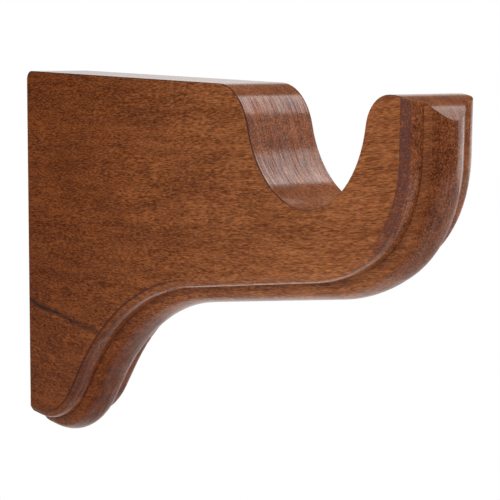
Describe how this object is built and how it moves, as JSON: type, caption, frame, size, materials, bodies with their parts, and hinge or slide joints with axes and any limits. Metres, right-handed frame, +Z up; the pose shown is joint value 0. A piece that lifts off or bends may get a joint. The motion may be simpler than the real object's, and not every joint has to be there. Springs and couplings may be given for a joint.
{
  "type": "return bracket",
  "caption": "Wooden return bracket that holds a curtain pole in an open cradle, well out from the wall, with a routed edge.",
  "frame": {"origin": "on the wall face, in the middle of the board's thickness and level with the pole's axis", "axes": "+X out from the wall towards the pole, +Y across the board, +Z up"},
  "size_m": [0.2003, 0.02, 0.1159],
  "materials": {
    "stained_wood": "stained and lacquered, satin"
  },
  "bodies": {
    "root": {"bracket": "stained_wood"}
  },
  "joints": []
}
